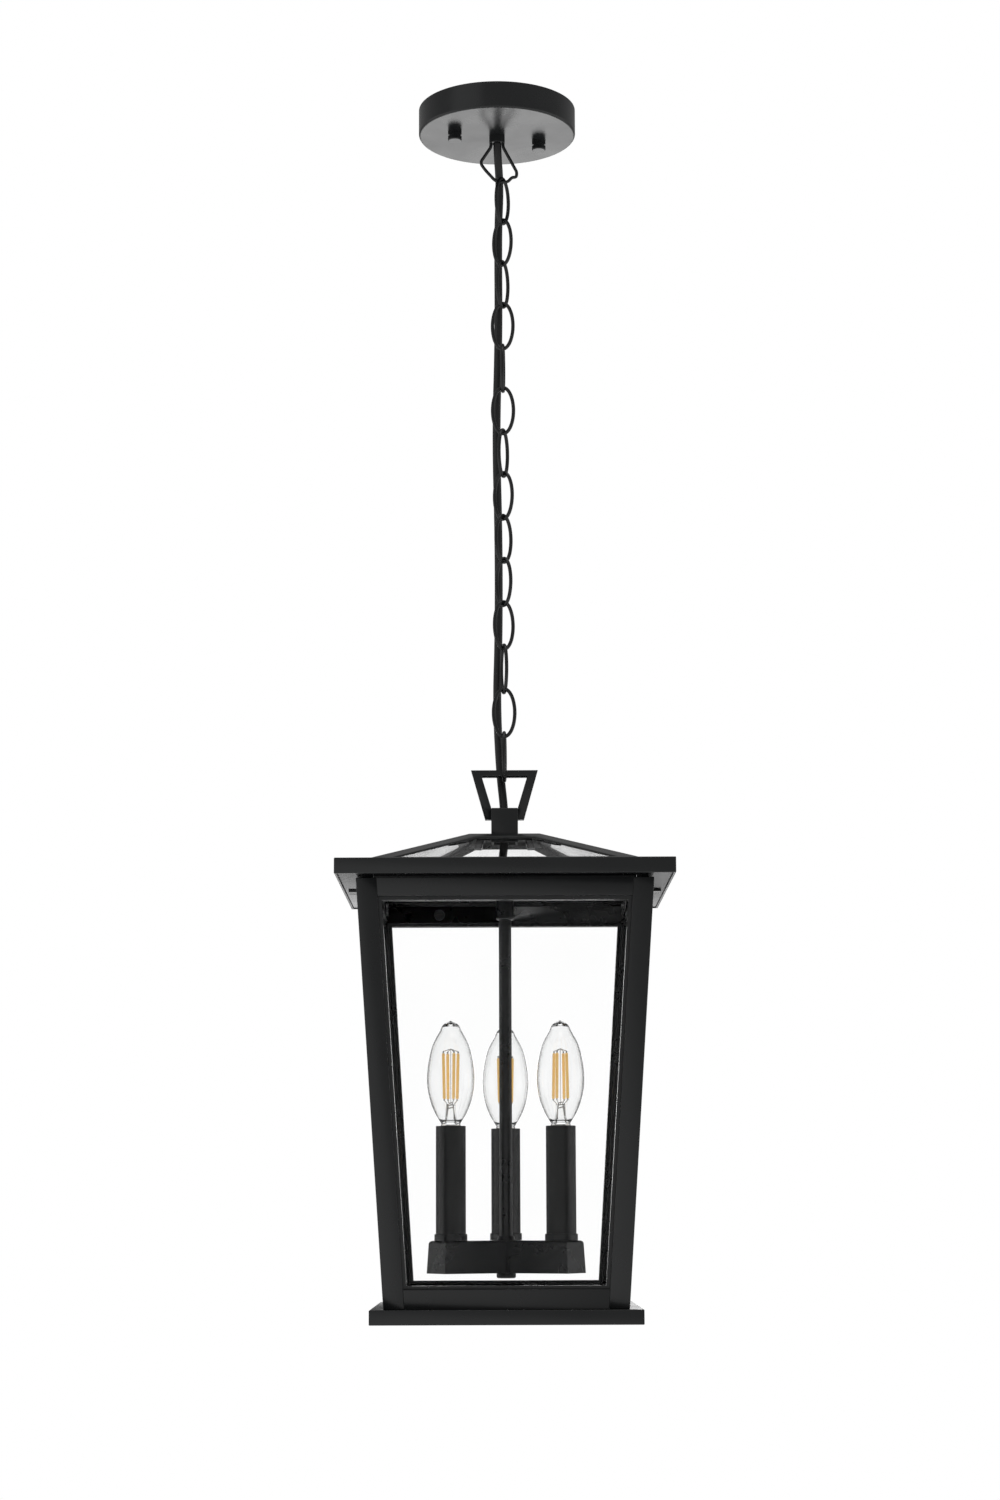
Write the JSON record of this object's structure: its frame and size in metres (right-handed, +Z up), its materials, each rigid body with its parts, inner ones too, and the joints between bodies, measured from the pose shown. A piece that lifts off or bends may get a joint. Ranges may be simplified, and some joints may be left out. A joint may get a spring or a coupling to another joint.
{
  "type": "hanging lantern",
  "caption": "Square tapered glass lantern with a low glass hip roof and a candle-lamp cluster, hung on a chain from a round ceiling canopy.",
  "frame": {"origin": "centre of the ceiling canopy on the ceiling plane", "axes": "+Z up, -Y towards the front, +X to the right seen from the front"},
  "size_m": [0.246, 0.246, 0.9433],
  "materials": {
    "black_steel": "satin black",
    "chain_steel": "satin black",
    "zinc_steel": "zinc plated",
    "cord_jacket": "matte",
    "pane_glass": "clear flat glass",
    "bulb_glass": "clear blown glass",
    "bulb_base": "nickel plated",
    "filament": "amber coated filament",
    "sleeve_black": "satin black",
    "socket_black": "matte"
  },
  "bodies": {
    "canopy": {"canopy_shell": "black_steel", "mounting_crossbar": "zinc_steel", "crossbar_screws": "zinc_steel", "canopy_cap_nuts": "black_steel", "canopy_nipple": "zinc_steel", "nipple_nuts": "zinc_steel", "chain_collar": "black_steel", "hanger_wire": "black_steel"},
    "chain": {"chain_link_01": "chain_steel", "chain_link_02": "chain_steel", "chain_link_03": "chain_steel", "chain_link_04": "chain_steel", "chain_link_05": "chain_steel", "chain_link_06": "chain_steel", "chain_link_07": "chain_steel", "chain_link_08": "chain_steel", "chain_link_09": "chain_steel", "chain_link_10": "chain_steel", "chain_link_11": "chain_steel", "chain_link_12": "chain_steel", "chain_link_13": "chain_steel", "chain_link_14": "chain_steel", "supply_cord": "cord_jacket"},
    "lantern": {"lantern_cord": "cord_jacket", "hanging_loop": "black_steel", "finial_tube": "black_steel", "roof_frame": "black_steel", "roof_glass": "pane_glass", "roof_glass_clips": "black_steel", "tube_saddle": "black_steel", "rim_band": "black_steel", "cross_strap": "black_steel", "cage_legs": "black_steel", "cage_top_rails": "black_steel", "cage_bottom_rails": "black_steel", "glass_front": "pane_glass", "glass_right": "pane_glass", "glass_back": "pane_glass", "glass_left": "pane_glass", "glazing_beads": "black_steel", "rail_screws": "black_steel", "base_frame": "black_steel", "stem": "black_steel", "stem_nuts": "black_steel", "hub": "black_steel", "hub_cover": "black_steel", "hub_knob": "black_steel", "candle_cups": "black_steel", "candle_sleeves": "sleeve_black", "sockets": "socket_black"},
    "bulb_1": {"bulb_1_glass": "bulb_glass", "bulb_1_base": "bulb_base", "bulb_1_filaments": "filament"},
    "bulb_2": {"bulb_2_glass": "bulb_glass", "bulb_2_base": "bulb_base", "bulb_2_filaments": "filament"},
    "bulb_3": {"bulb_3_glass": "bulb_glass", "bulb_3_base": "bulb_base", "bulb_3_filaments": "filament"}
  },
  "joints": [
    {"name": "chain_swing", "type": "hinge", "parent": "canopy", "child": "chain", "pos_m": [0.004, 0, -0.05864], "axis": [1, 0, 0], "range_deg": [-12, 12], "deforming": ["supply_cord"]},
    {"name": "lantern_sway", "type": "hinge", "parent": "chain", "child": "lantern", "pos_m": [0.004, 0, -0.53821], "axis": [0.0698, 0.9976, 0], "range_deg": [-5, 5]},
    {"name": "bulb_1_lift", "type": "slide", "parent": "lantern", "child": "bulb_1", "axis": [0, 0, 1], "range_m": [0, 0.03]},
    {"name": "bulb_2_lift", "type": "slide", "parent": "lantern", "child": "bulb_2", "axis": [0, 0, 1], "range_m": [0, 0.03]},
    {"name": "bulb_3_lift", "type": "slide", "parent": "lantern", "child": "bulb_3", "axis": [0, 0, 1], "range_m": [0, 0.03]}
  ]
}
